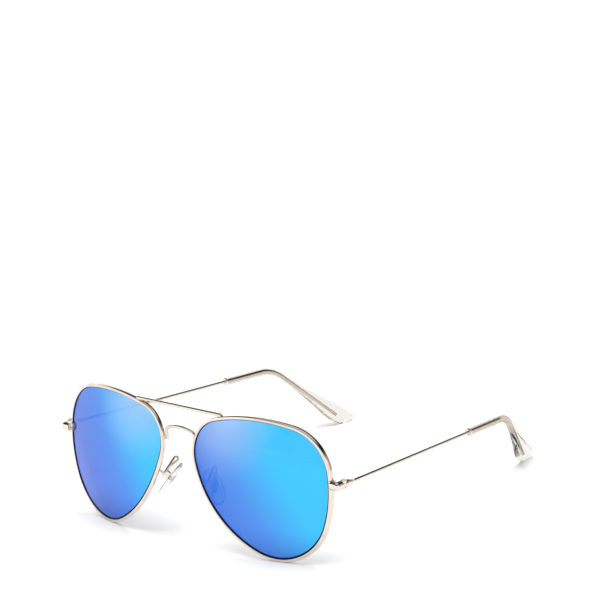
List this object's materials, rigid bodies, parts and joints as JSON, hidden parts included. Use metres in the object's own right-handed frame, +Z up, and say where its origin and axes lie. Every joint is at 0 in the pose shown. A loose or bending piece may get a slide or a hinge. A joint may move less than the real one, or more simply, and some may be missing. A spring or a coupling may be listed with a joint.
{
  "type": "aviator sunglasses",
  "caption": "Wire-frame aviator sunglasses with mirrored teardrop lenses, a double bridge, adjustable nose pads and folding temples with clear curved ear tips.",
  "frame": {"origin": "under the middle of the bounding box, on the plane the open glasses stand on", "axes": "+Z up, the front faces -Y, the temples run back along +Y, +X is the wearer's left"},
  "size_m": [0.141, 0.1342, 0.0513],
  "materials": {
    "frame_metal": "polished pale gold plating",
    "screw_steel": "turned",
    "insert_metal": "stamped and plated",
    "mirror_lens": "blue multilayer mirror coating",
    "pad_silicone": "clear soft silicone",
    "clear_tip": "clear polished acetate"
  },
  "bodies": {
    "front": {"bridge": "frame_metal", "brow_bar": "frame_metal", "left_rim": "frame_metal", "left_lens": "mirror_lens", "left_upper_closing_block": "frame_metal", "left_lower_closing_block": "frame_metal", "left_lock_screw": "screw_steel", "left_end_piece": "frame_metal", "left_front_hinge_leaf": "frame_metal", "left_hinge_screw": "screw_steel", "left_pad_arm": "frame_metal", "left_pad_box": "frame_metal", "left_pad_screw": "screw_steel", "right_rim": "frame_metal", "right_lens": "mirror_lens", "right_upper_closing_block": "frame_metal", "right_lower_closing_block": "frame_metal", "right_lock_screw": "screw_steel", "right_end_piece": "frame_metal", "right_front_hinge_leaf": "frame_metal", "right_hinge_screw": "screw_steel", "right_pad_arm": "frame_metal", "right_pad_box": "frame_metal", "right_pad_screw": "screw_steel"},
    "left_temple": {"left_temple_hinge_block": "frame_metal", "left_temple_wire": "frame_metal", "left_tip_collar": "frame_metal", "left_temple_tip": "clear_tip"},
    "right_temple": {"right_temple_hinge_block": "frame_metal", "right_temple_wire": "frame_metal", "right_tip_collar": "frame_metal", "right_temple_tip": "clear_tip"},
    "left_pad": {"left_pad_insert": "insert_metal", "left_nose_pad": "pad_silicone"},
    "right_pad": {"right_pad_insert": "insert_metal", "right_nose_pad": "pad_silicone"}
  },
  "joints": [
    {"name": "left_temple_fold", "type": "hinge", "parent": "front", "child": "left_temple", "pos_m": [0.0694, -0.05345, 0.0301], "axis": [0, 0, 1], "range_deg": [0, 80]},
    {"name": "right_temple_fold", "type": "hinge", "parent": "front", "child": "right_temple", "pos_m": [-0.0694, -0.05345, 0.0301], "axis": [0, 0, -1], "range_deg": [0, 72]},
    {"name": "left_pad_rock", "type": "hinge", "parent": "front", "child": "left_pad", "pos_m": [0.01213, -0.06072, 0.02251], "axis": [0.4211, 0.9068, -0.0183], "range_deg": [-8, 8]},
    {"name": "right_pad_rock", "type": "hinge", "parent": "front", "child": "right_pad", "pos_m": [-0.01213, -0.06072, 0.02251], "axis": [0.4211, -0.9068, 0.0183], "range_deg": [-8, 8]}
  ]
}
